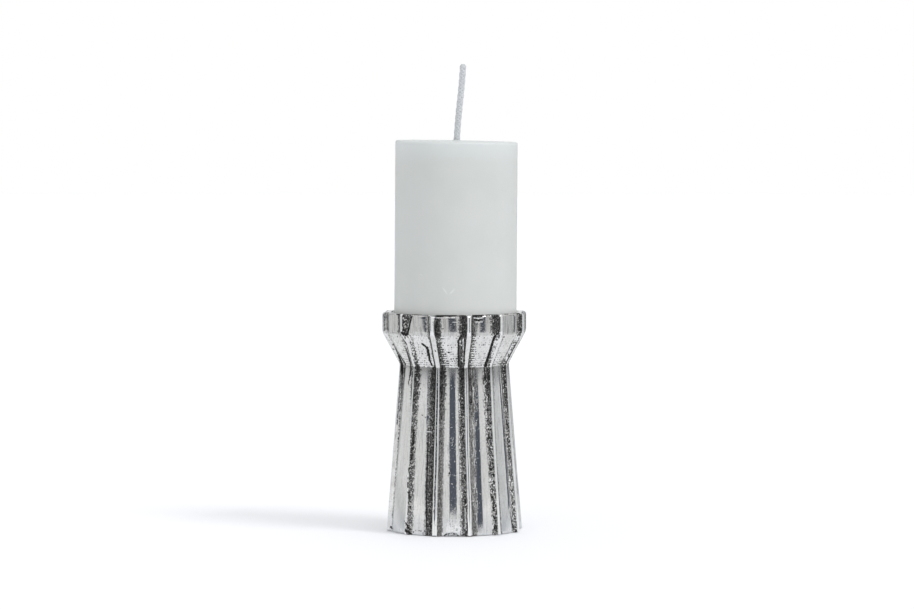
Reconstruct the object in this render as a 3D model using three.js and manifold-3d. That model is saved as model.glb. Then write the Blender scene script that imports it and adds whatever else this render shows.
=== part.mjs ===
// Fluted cast metal candle stand with a pillar candle. Millimetres, +Z up.
// The origin is on the table under the stand's axis, and -Y is the front.

import * as THREE from "three";
import { mergeVertices } from "three/addons/utils/BufferGeometryUtils.js";
import Module from "manifold-3d";

// Candle
const CANDLE_RADIUS = 30;
const CANDLE_HEIGHT = 95.6;
const CANDLE_BASE_BEVEL = 2.2;
const CANDLE_TOP_BEVEL = 0.9;

// Wick, from the candle's base to its free tip
const WICK_THICKNESS = 2.9;
const WICK_RISE = 37.8;
const WICK_LEAN = 3.3;
const WICK_BEND_HEIGHT = 5;
const WICK_SIDES = 12;
const WICK_STEPS = 36;

// Sustainer, the thin disc with a neck that grips the wick in the candle's base
const SUSTAINER_RADIUS = 7.5;
const SUSTAINER_SHEET = 0.4;
const SUSTAINER_NECK_HEIGHT = 6;

// Stand, heights along the axis
const COLUMN_HEIGHT = 82.1;
const FLARE_HEIGHT = 15.9;
const BAND_HEIGHT = 9.8;

// Stand, how its outline widens and narrows
const RIM_WALL = 3.1;
const FLARE_OVERHANG = 8.9;
const FOOT_SPREAD = 6.8;

// Flutes: flat rib crests, slanted walls and flat bottoms. Angles are in degrees round the axis.
const RIB_COUNT = 12;
const RIB_TURN = 12.5;
const CREST_ANGLE = 4;
const FLUTE_WALL_ANGLE = 5.7;
const FLUTE_DEPTH = 1.8;

// Stand, its cup and its hollow underside
const CUP_CLEARANCE = 1.2;
const CUP_SINK = 2.2;
const CUP_CORNER = 2;
const CUP_FLOOR_THICKNESS = 5;
const COLUMN_WALL = 4.2;
const HOLLOW_CORNER = 4;
const RIM_BEVEL = 0.6;
const FOOT_BEVEL = 0.5;
const FOOT_LIP = 1;

// Felt ring in a shallow recess under the foot
const FELT_THICKNESS = 0.8;
const FELT_RECESS = 0.6;
const FELT_INSET = 0.6;

// Clearances
const SEAT_GAP = 0.3;
const FIT_GAP = 0.3;

// Facets of round shapes, and how far a cutter reaches past the face that it cuts
const ROUND_SEGMENTS = 72;
const CORNER_STEPS = 4;
const OVERSHOOT = 2;

// Derived sizes of the stand
const CUP_RADIUS = CANDLE_RADIUS + CUP_CLEARANCE;
const BAND_RADIUS = CUP_RADIUS + RIM_WALL + FLUTE_DEPTH;
const NECK_RADIUS = BAND_RADIUS - FLARE_OVERHANG;
const FOOT_RADIUS = NECK_RADIUS + FOOT_SPREAD;
const FOOT_Z = FELT_THICKNESS - FELT_RECESS;
const NECK_Z = FOOT_Z + COLUMN_HEIGHT;
const BAND_Z = NECK_Z + FLARE_HEIGHT;
const RIM_Z = BAND_Z + BAND_HEIGHT;
const CUP_FLOOR_Z = BAND_Z - CUP_SINK;
const HOLLOW_TOP_Z = CUP_FLOOR_Z - CUP_FLOOR_THICKNESS;
const HOLLOW_FOOT_RADIUS = FOOT_RADIUS - FLUTE_DEPTH - COLUMN_WALL;
const HOLLOW_TOP_RADIUS = NECK_RADIUS - FLUTE_DEPTH - COLUMN_WALL;
const RECESS_RADIUS = FOOT_RADIUS - FLUTE_DEPTH - FOOT_BEVEL - FOOT_LIP;

// Derived sizes of the candle, measured from the candle's own base
const CANDLE_Z = CUP_FLOOR_Z + SEAT_GAP;
const WICK_RADIUS = WICK_THICKNESS / 2;
const SUSTAINER_BORE = WICK_RADIUS + FIT_GAP;
const SUSTAINER_NECK_RADIUS = SUSTAINER_BORE + SUSTAINER_SHEET;

const wasm = await Module();
wasm.setup();

// Turns a closed geometry into a solid that can be joined or cut.
function solidOf(geometry) {
  const bare = geometry.clone();
  bare.deleteAttribute("normal");
  bare.deleteAttribute("uv");
  const merged = mergeVertices(bare);
  const mesh = new wasm.Mesh({
    numProp: 3,
    vertProperties: merged.attributes.position.array,
    triVerts: new Uint32Array(merged.index.array),
  });
  return new wasm.Manifold(mesh);
}

// Turns a solid back into a geometry with flat-shaded faces.
function geometryOf(solid) {
  const mesh = solid.getMesh();
  const geometry = new THREE.BufferGeometry();
  geometry.setAttribute("position", new THREE.BufferAttribute(mesh.vertProperties, 3));
  geometry.setIndex(new THREE.BufferAttribute(mesh.triVerts, 1));
  const faceted = geometry.toNonIndexed();
  faceted.computeVertexNormals();
  return faceted;
}

// Revolves a profile of [radius, height] pairs about the Z axis.
function revolve(profile) {
  const points = profile.map(([radius, height]) => new THREE.Vector2(radius, height));
  return new THREE.LatheGeometry(points, ROUND_SEGMENTS).rotateX(Math.PI / 2);
}

// Points of a quarter-round corner from its start angle, about its centre.
function cornerArc(centreRadius, centreHeight, size, startAngle) {
  const points = [];
  for (let i = 0; i <= CORNER_STEPS; i++) {
    const angle = startAngle + (i / CORNER_STEPS) * (Math.PI / 2);
    points.push([centreRadius + size * Math.cos(angle), centreHeight + size * Math.sin(angle)]);
  }
  return points;
}

// One ring of the fluted outline. Where two walls are too wide for their pitch, they meet in a V.
function flutedRing(crestRadius, height) {
  const pitch = (2 * Math.PI) / RIB_COUNT;
  const crestHalf = Math.min(THREE.MathUtils.degToRad(CREST_ANGLE) / 2, 0.45 * pitch);
  const wall = THREE.MathUtils.degToRad(FLUTE_WALL_ANGLE);
  const wallSpan = Math.min(wall, 0.49 * pitch - crestHalf);
  const bottomRadius = crestRadius - FLUTE_DEPTH * (wallSpan / wall);
  const firstRib = THREE.MathUtils.degToRad(RIB_TURN) - Math.PI / 2;
  const section = [
    [-crestHalf - wallSpan, bottomRadius],
    [-crestHalf, crestRadius],
    [crestHalf, crestRadius],
    [crestHalf + wallSpan, bottomRadius],
  ];
  const ring = [];
  for (let rib = 0; rib < RIB_COUNT; rib++) {
    for (const [turn, radius] of section) {
      const angle = firstRib + rib * pitch + turn;
      ring.push(new THREE.Vector3(radius * Math.cos(angle), radius * Math.sin(angle), height));
    }
  }
  return ring;
}

// Closes a stack of rings, lowest first, into one skin with a flat end at each side.
function loft(rings) {
  const count = rings[0].length;
  const positions = [];
  const face = (...corners) => corners.forEach((corner) => positions.push(corner.x, corner.y, corner.z));
  rings.slice(1).forEach((upper, level) => {
    const lower = rings[level];
    for (let i = 0; i < count; i++) {
      const next = (i + 1) % count;
      face(lower[i], lower[next], upper[next]);
      face(lower[i], upper[next], upper[i]);
    }
  });
  const first = rings[0];
  const last = rings[rings.length - 1];
  const base = new THREE.Vector3(0, 0, first[0].z);
  const top = new THREE.Vector3(0, 0, last[0].z);
  for (let i = 0; i < count; i++) {
    const next = (i + 1) % count;
    face(base, first[next], first[i]);
    face(top, last[i], last[next]);
  }
  const geometry = new THREE.BufferGeometry();
  geometry.setAttribute("position", new THREE.Float32BufferAttribute(positions, 3));
  return geometry;
}

// The stand's fluted outside: foot, column, neck, flare and upright band.
function standOutside() {
  return loft([
    flutedRing(FOOT_RADIUS - FOOT_BEVEL, FOOT_Z),
    flutedRing(FOOT_RADIUS, FOOT_Z + FOOT_BEVEL),
    flutedRing(NECK_RADIUS, NECK_Z),
    flutedRing(BAND_RADIUS, BAND_Z),
    flutedRing(BAND_RADIUS, RIM_Z - RIM_BEVEL),
    flutedRing(BAND_RADIUS - RIM_BEVEL, RIM_Z),
  ]);
}

// The round cup for the candle, with a rounded floor corner and a bevelled mouth.
function cupSpace() {
  return revolve([
    [0, CUP_FLOOR_Z],
    ...cornerArc(CUP_RADIUS - CUP_CORNER, CUP_FLOOR_Z + CUP_CORNER, CUP_CORNER, -Math.PI / 2),
    [CUP_RADIUS, RIM_Z - RIM_BEVEL],
    [CUP_RADIUS + RIM_BEVEL + OVERSHOOT, RIM_Z + OVERSHOOT],
    [0, RIM_Z + OVERSHOOT],
  ]);
}

// The space that the casting's core leaves, open downwards and drawn in towards the cup's floor,
// with the recess for the felt ring round its mouth.
function undersideSpace() {
  const corner = HOLLOW_CORNER;
  return revolve([
    [0, FOOT_Z - OVERSHOOT],
    [RECESS_RADIUS, FOOT_Z - OVERSHOOT],
    [RECESS_RADIUS, FELT_THICKNESS],
    [HOLLOW_FOOT_RADIUS, FELT_THICKNESS],
    ...cornerArc(HOLLOW_TOP_RADIUS - corner, HOLLOW_TOP_Z - corner, corner, 0),
    [0, HOLLOW_TOP_Z],
  ]);
}

function standCasting() {
  const outside = solidOf(standOutside());
  return geometryOf(outside.subtract(solidOf(cupSpace())).subtract(solidOf(undersideSpace())));
}

// Felt ring glued into the recess, from which it stands a little proud.
function feltFootRing() {
  const inner = HOLLOW_FOOT_RADIUS + FELT_INSET;
  const outer = RECESS_RADIUS - FIT_GAP;
  return revolve([
    [inner, 0],
    [outer, 0],
    [outer, FELT_THICKNESS],
    [inner, FELT_THICKNESS],
    [inner, 0],
  ]);
}

// The wax, with a bore for the wick and a pocket for the sustainer in its base.
function candleWax() {
  const bore = WICK_RADIUS + FIT_GAP;
  const neckPocket = SUSTAINER_NECK_RADIUS + FIT_GAP;
  const neckPocketTop = SUSTAINER_SHEET + SUSTAINER_NECK_HEIGHT + FIT_GAP;
  const discPocket = SUSTAINER_RADIUS + FIT_GAP;
  const discPocketTop = SUSTAINER_SHEET + FIT_GAP;
  return revolve([
    [discPocket, 0],
    [CANDLE_RADIUS - CANDLE_BASE_BEVEL, 0],
    [CANDLE_RADIUS, CANDLE_BASE_BEVEL],
    [CANDLE_RADIUS, CANDLE_HEIGHT - CANDLE_TOP_BEVEL],
    [CANDLE_RADIUS - CANDLE_TOP_BEVEL, CANDLE_HEIGHT],
    [bore, CANDLE_HEIGHT],
    [bore, neckPocketTop],
    [neckPocket, neckPocketTop],
    [neckPocket, discPocketTop],
    [discPocket, discPocketTop],
    [discPocket, 0],
  ]);
}

// The wick stands straight in the wax, then leans to the right above it.
function wickRope() {
  const section = new THREE.Shape();
  for (let i = 0; i < WICK_SIDES; i++) {
    const angle = (2 * Math.PI * i) / WICK_SIDES;
    const x = WICK_RADIUS * Math.cos(angle);
    const y = WICK_RADIUS * Math.sin(angle);
    if (i === 0) section.moveTo(x, y);
    else section.lineTo(x, y);
  }
  const start = new THREE.Vector3(0, 0, 0);
  const surface = new THREE.Vector3(0, 0, CANDLE_HEIGHT);
  const bend = new THREE.Vector3(0, 0, CANDLE_HEIGHT + WICK_BEND_HEIGHT);
  const tip = new THREE.Vector3(WICK_LEAN, 0, CANDLE_HEIGHT + WICK_RISE);
  const route = new THREE.CurvePath();
  route.add(new THREE.LineCurve3(start, surface));
  route.add(new THREE.QuadraticBezierCurve3(surface, bend, tip));
  return new THREE.ExtrudeGeometry(section, { steps: WICK_STEPS, extrudePath: route });
}

// Thin disc with a straight neck round the wick.
function wickSustainer() {
  const neckTop = SUSTAINER_SHEET + SUSTAINER_NECK_HEIGHT;
  return revolve([
    [SUSTAINER_BORE, 0],
    [SUSTAINER_RADIUS, 0],
    [SUSTAINER_RADIUS, SUSTAINER_SHEET],
    [SUSTAINER_NECK_RADIUS, SUSTAINER_SHEET],
    [SUSTAINER_NECK_RADIUS, neckTop],
    [SUSTAINER_BORE, neckTop],
    [SUSTAINER_BORE, 0],
  ]);
}

function piece(name, geometry, colour, roughness, metalness) {
  const material = new THREE.MeshStandardMaterial({ color: colour, roughness, metalness });
  const mesh = new THREE.Mesh(geometry, material);
  mesh.name = name;
  return mesh;
}

const stand = new THREE.Group();
stand.add(piece("stand_casting", standCasting(), "#b4b7bb", 0.3, 1));
stand.add(piece("felt_foot_ring", feltFootRing(), "#333436", 0.95, 0));

const candle = new THREE.Group();
candle.position.z = CANDLE_Z;
candle.add(piece("candle_wax", candleWax(), "#d0d5d5", 0.5, 0));
candle.add(piece("wick", wickRope(), "#c6cacd", 0.8, 0));
candle.add(piece("wick_sustainer", wickSustainer(), "#b9bbbd", 0.35, 1));

const assembly = new THREE.Group();
assembly.add(stand, candle);

export default assembly;
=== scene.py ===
"""Looks of a fluted cast metal candle stand with a pillar candle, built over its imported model.

Blender's metres, +Z up, -Y to the front. Lengths in this script are millimetres, times MM where Blender
takes them.
"""

import math
import random
from collections import namedtuple
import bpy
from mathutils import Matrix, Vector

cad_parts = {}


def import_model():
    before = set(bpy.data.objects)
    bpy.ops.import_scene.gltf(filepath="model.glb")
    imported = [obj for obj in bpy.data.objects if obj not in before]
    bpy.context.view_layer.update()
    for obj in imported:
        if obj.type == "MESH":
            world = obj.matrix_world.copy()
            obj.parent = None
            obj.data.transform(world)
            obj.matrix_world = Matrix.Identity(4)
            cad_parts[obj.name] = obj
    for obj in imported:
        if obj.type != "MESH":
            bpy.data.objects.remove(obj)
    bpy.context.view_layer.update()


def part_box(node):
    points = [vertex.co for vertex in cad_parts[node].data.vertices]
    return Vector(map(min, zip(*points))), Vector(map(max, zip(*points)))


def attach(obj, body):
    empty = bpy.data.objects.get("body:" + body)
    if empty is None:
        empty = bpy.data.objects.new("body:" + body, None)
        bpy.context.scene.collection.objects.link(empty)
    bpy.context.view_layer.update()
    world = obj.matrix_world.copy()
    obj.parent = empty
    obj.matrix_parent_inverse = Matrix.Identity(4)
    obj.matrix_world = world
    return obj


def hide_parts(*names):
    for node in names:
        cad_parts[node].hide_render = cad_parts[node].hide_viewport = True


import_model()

from types import SimpleNamespace

import bpy
import numpy as np
from mathutils import Vector, noise

MM = 0.001
PHOTO_WIDTH = 914

# Camera, as the photograph was taken
FOCAL_PIXELS = 4195
SENSOR_WIDTH = 36.0
EYE_DISTANCE = 2063.0
EYE_HEIGHT = 222.0
EYE_RIGHT = 1.28
PITCH_DOWN = 3.069

# Outline of the stand over its rib crests
FOOT_RADIUS = 34.0
NECK_RADIUS = 27.2
BAND_RADIUS = 36.0
COLUMN_HEIGHT = 82.1
FLARE_HEIGHT = 15.9
CUP_RADIUS = 31.2
CUP_DEPTH = 12.0
CUP_CORNER = 2.0
COLUMN_WALL = 4.2
FLOOR_THICKNESS = 5.0
HOLLOW_CORNER = 4.0
FELT_GAP = 0.3
FELT_WIDTH = 1.8

# How softly the casting's edges turn, and the number of rings round the foot's and the rim's
NECK_ROUNDING = 0.5
BAND_ROUNDING = 0.9
RIM_ROUNDING = 1.2
FOOT_ROUNDING = 0.5
RIB_ROUNDING = 0.06
EDGE_RINGS = 6

# Ribs and flutes. Angles are in degrees from the front towards the right.
RIB_COUNT = 12
RIB_TURN = 12.5
CREST_ANGLE = 3.8
WALL_ANGLE = 5.2
FLUTE_DEPTH = 1.8
CREST_CURVE = 8.0
COVE = 1.5

# Samples round one half of a rib's pitch: on the crest, down the wall and along the flute's floor
CREST_SAMPLES = 3
WALL_SAMPLES = 7
FLOOR_SAMPLES = 8
HALF_SAMPLES = CREST_SAMPLES + WALL_SAMPLES + FLOOR_SAMPLES
FLOOR_SPACING = 1.5

# How far the casting's skin lies inside the CAD outline, how deep stains and painted lines of shade are sunk,
# and how much of the rim is filed uneven
SKIN_INSET = 0.05
STAIN_AND_SHADE_DEPTH = 0.12
FILED_HEIGHT = 1.8

# How far the ribs at the back stand off their even places, in degrees: the pattern was carved by hand
RIB_DRIFT = {3: -2.2, 4: -1.4, 5: -0.6, 6: 0.3, 7: 0.9, 8: -0.8, 9: -2.5}

# Below, six values belong to six heights: the foot, halfway up the column, under the neck, the flare,
# and the band's bottom and top. Where there are seven, the flare has one for each end. A plain number
# holds all the way up. The front ribs' own angles, and how wide their crests are:
RIB_ANGLES = {
    10: (-45.2, -46.8, -46.7, -46.4, -42.8, -46.4, -46.6),
    11: (-16.7, -16.6, -17.1, -17.2, -17.7, -17.9),
    0: (13.0, 12.0, 12.3, 11.8, 11.6, 11.6),
    1: (40.8, 40.1, 41.2, 40.8, 40.0, 39.8),
    2: (68.3, 67.8, 70.8, 70.6, 70.2, 70.0),
}
CREST_ANGLES = {
    10: (1.8, 1.8, 2.2, 3.2, 6.0, 2.2, 2.2),
    11: (4.2, 4.2, 3.6, 4.2, 3.6, 3.6),
    0: (3.2, 3.6, 3.7, 3.7, 3.3, 3.3),
    1: 2.8,
}

# Crests that were filed slanting: the direction that they face, their radius of curvature,
# and how much of this is left in the band
CREST_FACING = {11: (-24.0, 11.0, 0.0), 0: (23.0, 6.0, 1.0)}

# Flutes whose floor is turned a little in the band, in degrees, by the rib on their left
BAND_TWISTS = {10: 2.6}

# A wall's width is in degrees. Its dark is how much of it is covered, from 0 to 1, and its reach how far
# the cover goes on over the flute's floor, in wall widths. Grit breaks the cover into grains, streak into
# lines, and tone is how light the cover gets down the column.
Wall = namedtuple("Wall", "width dark reach grit streak tone", defaults=(0.0, 0.3))
LEFT, RIGHT = 0, 1
SHORT_REACH = (0.1, 0.1, 0.4, 0.2, 0.2, 0.2)
WALLS = {
    (8, RIGHT): Wall((4.5, 4.5, 4.5, 4, 4, 4), (0.1, 0.1, 0.2, 0.1, 0.1, 0.1), SHORT_REACH, 0.3),
    (9, LEFT): Wall((4.6, 4.6, 4.6, 4, 4, 4), (0.2, 0.2, 0.3, 0.3, 0.15, 0.15), SHORT_REACH, 0.3),
    (9, RIGHT): Wall((3.6, 3.6, 3.6, 3.6, 2.6, 2.6), (0.1, 0.1, 0.6, 0.05, 0.05, 0.3, 0.3),
                     (0.1, 0.1, 0.8, 0.3, 0.2, 0.2), 0.6),
    (10, LEFT): Wall((4.2, 4.2, 5.5, 6.5, 5.5, 5.5), (0.05, 0.2, 1, 0.9, 0.3, 1, 1),
                     (0, 0.1, 1.3, 0.6, 0.3, 0.3), 1),
    (10, RIGHT): Wall((4.6, 4.8, 4.3, 3.2, 4.2, 7.4), (0.95, 1, 1, 0.8, 0.3, 0.85, 0.85),
                      (0.1, 0.1, 0.9, 0.3, 0.1, 0.1), 1, tone=0.2),
    (11, LEFT): Wall((6.8, 7.4, 7.8, 3.4, 3.4, 3.4), (1, 1, 1, 0.6, 0.5, 0.5),
                     (0.5, 0.5, 0.5, 0.2, 0.5, 0.5), 0.45, tone=0.07),
    (11, RIGHT): Wall((4.2, 4.2, 4.8, 3, 5, 5.4), (0.9, 0.9, 1, 0.95, 0.9, 0.85, 0.8),
                      (0.15, 0.2, 0.9, 2.2, 1.2, 0.2, 0.2), (0.25, 0.25, 0.4, 1, 1, 0.3, 0.3), tone=0.38),
    (0, LEFT): Wall((6.1, 5.8, 6, 6.4, 5.7, 5.7), (0.9, 0.9, 1, 0.9, 1, 1),
                    (0.1, 0.1, 0.3, 0.1, 0.25, 0.25), 0.6, tone=0.08),
    (0, RIGHT): Wall((6.1, 6.5, 5, 2.4, 5.4, 6.4), (0.95, 0.85, 1, 0.9, 0.8, 0.95, 0.95),
                     (0.1, 0.2, 1.9, 3.4, 1.5, 0.3, 0.3), (0.5, 0.5, 0.3, 1, 1, 0.3, 0.3),
                     (0.8, 0.8, 1, 0, 0, 1, 1), 0.24),
    (1, LEFT): Wall((4.2, 5.9, 5.4, 3, 6.2, 7.6), (1, 0.95, 1, 0.3, 1, 1),
                    (0.1, 0.1, 0.7, 0.2, 0.3, 0.3), (1, 1, 0.6, 0.6, 0.6, 0.6),
                    (0.2, 0.2, 0.6, 0.6, 0.6, 0.6), -0.18),
    (1, RIGHT): Wall((3.9, 5, 6, 4.5, 2.6, 2.6), (1, 0.25, 0.5, 0.3, 0.8, 0.8),
                     (0.2, 0.1, 0.8, 0.8, 0.5, 0.5), 0.5, tone=0.1),
    (2, LEFT): Wall((3.2, 3.2, 3.2, 3.2, 3.4, 3.6), (0.75, 0.97, 1, 0.5, 0.25, 0.95, 0.95),
                    SHORT_REACH, 0.8, tone=0),
    (2, RIGHT): Wall(4.6, (0.5, 0.3, 0.3, 0.2, 0.3, 0.3), (0.8, 0.3, 0.4, 0.2, 0.2, 0.2), 0.8),
    (3, LEFT): Wall(4.6, (0.1, 0.1, 0.15, 0.1, 0.2, 0.2), SHORT_REACH, 0.5),
}

# Radius of the rounded corner where a wall meets the rim, left and right of a rib
RIM_CORNERS = {11: (0.8, 3.4), 0: (0.8, 1.2), 10: (1.0, 0.6)}
RIM_CORNER = 0.9

# Dark stains and grooves, and a few painted lines of shade and reflection: a half width in millimetres,
# then angles in degrees with heights
STAINS_AND_PAINTED_SHADE = (
    (0.55, ((-29.6, 93.7), (-27.3, 92.6), (-25.7, 91.7))),
    (0.8, ((-25.7, 91.7), (-25.6, 90.2), (-26, 87.8))),
    (0.5, ((-26, 87.8), (-26.2, 85.5), (-25.2, 83.1))),
    (0.15, ((-19.8, 96.2), (-20.6, 92.2), (-20.7, 88.9), (-21.4, 84.9))),
    (0.6, ((-48.6, 95.4), (-46.6, 94.9), (-45.2, 94))),
    (0.4, ((-45.2, 94), (-44.6, 93.4))),
    (0.28, ((-44.6, 93.4), (-45.4, 90.7), (-46.3, 88.7), (-46.8, 86.8), (-48.3, 84.4), (-49.4, 79.2))),
    (0.62, ((-50.9, 90.6), (-52.5, 88.5), (-54.6, 85.5), (-57, 82.5), (-56.8, 80.5), (-57.2, 77.4))),
    (0.4, ((-59.2, 77.4), (-58, 75.6), (-60.2, 73.9), (-58.6, 72.7))),
    (0.2, ((-74.8, 92.7), (-75.5, 89.4), (-75.9, 86.2))),
    (0.45, ((-75.9, 86.2), (-77, 83), (-76.5, 78))),
    (0.17, ((-76.5, 78), (-75.3, 67.4), (-75.9, 60), (-75.4, 52.8), (-75.1, 41.7))),
    (0.12, ((-75.1, 41.7), (-74.8, 36), (-75.2, 28.8), (-74.7, 17), (-75.1, 7))),
    (0.3, ((-75.6, 107.5), (-75.4, 99.5))),
    # Painted reflection of a dark card, not a stain: a thin dark line down crest 11
    (0.24, ((-17.4, 76), (-17.1, 67), (-17.2, 52), (-16.8, 41.7), (-17, 29), (-17.3, 20))),
    (0.15, ((-17.3, 20), (-17.5, 9))),
    (0.42, ((-27.2, 52), (-26.9, 40), (-26.7, 29), (-26.1, 16), (-24.8, 4))),
    (0.28, ((-6.7, 89.8), (-4.2, 89.5))),
    (0.25, ((-17.2, 90.8), (-16.4, 90.1))),
    (0.45, ((5.9, 98.3), (3.4, 95.6), (3.8, 89.9), (4.6, 82.8))),
    (0.18, ((8.3, 98), (9.1, 91), (10.1, 82.9))),
    (0.75, ((35.6, 97.1), (35.5, 94.1), (35.8, 90.6), (35.9, 87), (36, 82.7))),
    (0.15, ((68.6, 95.6), (68.3, 90.5), (68.4, 82.9))),
    (0.2, ((43.1, 98.1), (42.6, 95.5), (44.1, 90.5), (43.6, 88.6), (44.5, 85.2))),
    (0.35, ((56, 86.5), (56.2, 86.3))),
    (0.22, ((41.6, 91.5), (41.8, 91.4))),
    (0.2, ((-36.4, 58.7), (-34.1, 58.4), (-32.6, 57.6), (-30.9, 57.4))),
    (0.3, ((-53, 72.8), (-52.1, 68), (-51.3, 63.6))),
    (0.4, ((-44.3, 51.7), (-43.6, 49.3), (-43.6, 45.3), (-44, 39.7), (-44.3, 36.5))),
    (0.32, ((-45.3, 32.6), (-45.1, 30.6))),
    (0.28, ((-46, 28.3), (-45.6, 27.6))),
    (0.32, ((-45.5, 25.6), (-45.3, 23.4))),
    (0.28, ((-44.8, 20.9), (-43.4, 19.3), (-43.2, 17.4))),
    (0.26, ((-42.6, 14.2), (-42.5, 13))),
    (0.45, ((-49.7, 6.4), (-47.3, 5.8), (-45, 5.6), (-42.9, 3.5))),
    (0.55, ((-45.4, 2.4), (-40.9, 0.4))),
    (0.42, ((-76.3, 2.4), (-73.4, 1.5))),
    (0.18, ((-38.8, 1.5), (-36.9, 2.3), (-33.8, 2.6), (-30.7, 2.1), (-28.9, 1.5), (-28.4, 0.7))),
    (0.28, ((-8.7, 0.7), (-5.5, 1.3), (-2.3, 1.8), (0.8, 1.3), (3.9, 0.6))),
    (0.35, ((-27, 11.2), (-26.7, 11.3))),
    (0.22, ((-81.3, 16.2), (-80.9, 16.3))),
    (0.35, ((2, 3.6), (2.2, 3.5))),
    (0.28, ((1.4, 8.9), (1.6, 9))),
    (0.25, ((7.7, 14.5), (10.3, 14.5))),
    (0.28, ((43.4, 31), (43.6, 26), (43.3, 19), (43.5, 12), (43.2, 4))),
    (0.35, ((60.6, 11), (62.3, 7), (64, 2))),
    (0.12, ((-5.1, 35.2), (-4.2, 32), (-3.9, 29.6), (-6.5, 29.4))),
    (0.25, ((-4.6, 31.4), (-4.9, 30))),
    # Painted contact shadow, not a stain: a dark line along the front of the foot's bottom edge
    (0.25, ((-26.5, 0.2), (-12, 0.2), (2, 0.2), (14.5, 0.25))),
    (0.6, ((-45.9, 98.9), (-44.2, 98.2))),
    (0.4, ((-37.5, 107), (-39.3, 104.1), (-40.7, 100.9), (-43.6, 96.2))),
    (0.22, ((-12.2, 105.4), (-11.3, 105.3))),
    (0.22, ((-11.6, 103.3), (-10.9, 103.3))),
    (0.25, ((-10.6, 101.5), (-9.2, 101.5))),
    (0.5, ((-15, 107.8), (-11.5, 107.6), (-8, 107.9), (-4, 107.7), (1.5, 108))),
    (0.5, ((15.5, 107.8), (19, 107.5), (24.5, 107.8))),
    (0.45, ((16, 105.8), (20, 105.4), (23, 105.7))),
    (0.32, ((-38, 108.1), (-33, 108), (-28.5, 108.1))),
    (0.28, ((-57, 107.6), (-52.5, 107.5))),
    (0.28, ((27, 108.1), (33, 108.1), (36, 107.9))),
    (0.28, ((47, 107.9), (52, 107.8))),
    (0.28, ((-20.2, 107.2), (-20, 103), (-19.9, 98.6))),
)

# Nicks and rubbed lines, where the metal is bare and scratched, in the same form
NICKS = (
    (0.25, ((-28.5, 50.7), (-21.8, 50.4))),
    (0.15, ((-4.1, 52.9), (-1.4, 53.2), (1.3, 53.5))),
    (0.14, ((-1, 47.6), (-2.1, 46.4), (-1.1, 45.7), (-3, 43.7), (-2.3, 42.5))),
    (0.14, ((22.2, 57.4), (23.7, 56.7), (23.2, 55.6))),
    (0.22, ((25.1, 41.2), (25.5, 41.2))),
    (0.25, ((39, 16.2), (43.7, 16.1))),
    (0.22, ((25.3, 19.2), (25.7, 19.2))),
    (0.22, ((9.3, 13.7), (9.4, 8.2), (9.2, 3.3))),
    (0.14, ((23.2, 72.3), (26.3, 72.2))),
    (0.26, ((7.3, 96.5), (7.8, 90.9))),
    (0.16, ((7.8, 90.9), (8, 84.9))),
    (0.13, ((-0.6, 29.6), (1.4, 29.5))),
    (0.3, ((-61.5, 77.5), (-61, 75.6))),
    (0.24, ((-14, 106.7), (-8, 106.6), (0.5, 106.8))),
    (0.26, ((15.5, 106.6), (20, 106.4), (24.8, 106.7))),
    (0.22, ((17, 104.7), (20, 104.5), (23.5, 104.6))),
    (0.2, ((-1.5, 104.6), (2.5, 104.4))),
)

# The distance that counts as far from all stains, painted lines and nicks
NO_MARK = 3.0


def box_mm(packed):
    """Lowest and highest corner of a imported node, in millimetres."""
    low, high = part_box(packed)
    return low / MM, high / MM


STAND_LOW, STAND_HIGH = box_mm("stand_casting")
FELT_LOW, FELT_HIGH = box_mm("felt_foot_ring")
WAX_LOW, WAX_HIGH = box_mm("candle_wax")
WICK_LOW, WICK_HIGH = box_mm("wick")
CLIP_LOW, CLIP_HIGH = box_mm("wick_sustainer")
FOOT_Z = STAND_LOW.z
RIM_Z = STAND_HIGH.z
NECK_Z = FOOT_Z + COLUMN_HEIGHT
BAND_Z = NECK_Z + FLARE_HEIGHT
CUP_FLOOR_Z = RIM_Z - CUP_DEPTH
HOLLOW_TOP_Z = CUP_FLOOR_Z - FLOOR_THICKNESS
STATION_HEIGHTS = (14, 47, NECK_Z - 1, NECK_Z + 1, BAND_Z - 2, BAND_Z + 0.5, RIM_Z - 1)


# Meshes

def new_object(name, data):
    """An object in the scene."""
    made = bpy.data.objects.new(name, data)
    bpy.context.scene.collection.objects.link(made)
    return made


def mesh_piece(name, points, faces, values=None):
    """A smooth-shaded object from points in millimetres, with a named number on each point."""
    mesh = bpy.data.meshes.new(name)
    mesh.from_pydata((np.asarray(points) * MM).tolist(), [], faces)
    for label, numbers in (values or {}).items():
        layer = mesh.attributes.new(label, "FLOAT", "POINT")
        layer.data.foreach_set("value", np.asarray(numbers, np.float32))
    mesh.shade_smooth()
    mesh.update()
    return new_object(name, mesh)


def skin_faces(rings, count, closed_up=False):
    """Quads between rings of count points each, or also from the last ring back to the first."""
    faces = []
    last = rings if closed_up else rings - 1
    for level in range(last):
        low = level * count
        high = ((level + 1) % rings) * count
        for i in range(count):
            j = (i + 1) % count
            faces.append((low + i, low + j, high + j, high + i))
    return faces


def pole_faces(first, count, pole, upward):
    """A fan from one ring to its centre point."""
    turn = 1 if upward else -1
    return [(first + i, first + (i + 1) % count, pole)[::turn] for i in range(count)]


def round_angles(count):
    """Even angles all round, in radians from the front towards the right."""
    return np.arange(count) * 2 * math.pi / count


def ring(angle, radius, z):
    """Points at these angles, at one radius and height or at their own."""
    return np.stack([radius * np.sin(angle), -radius * np.cos(angle), np.broadcast_to(z, angle.shape)], -1)


def profile_rings(angle, profile):
    """A round ring for each (radius, height) pair."""
    return [ring(angle, radius, z) for radius, z in profile]


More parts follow.
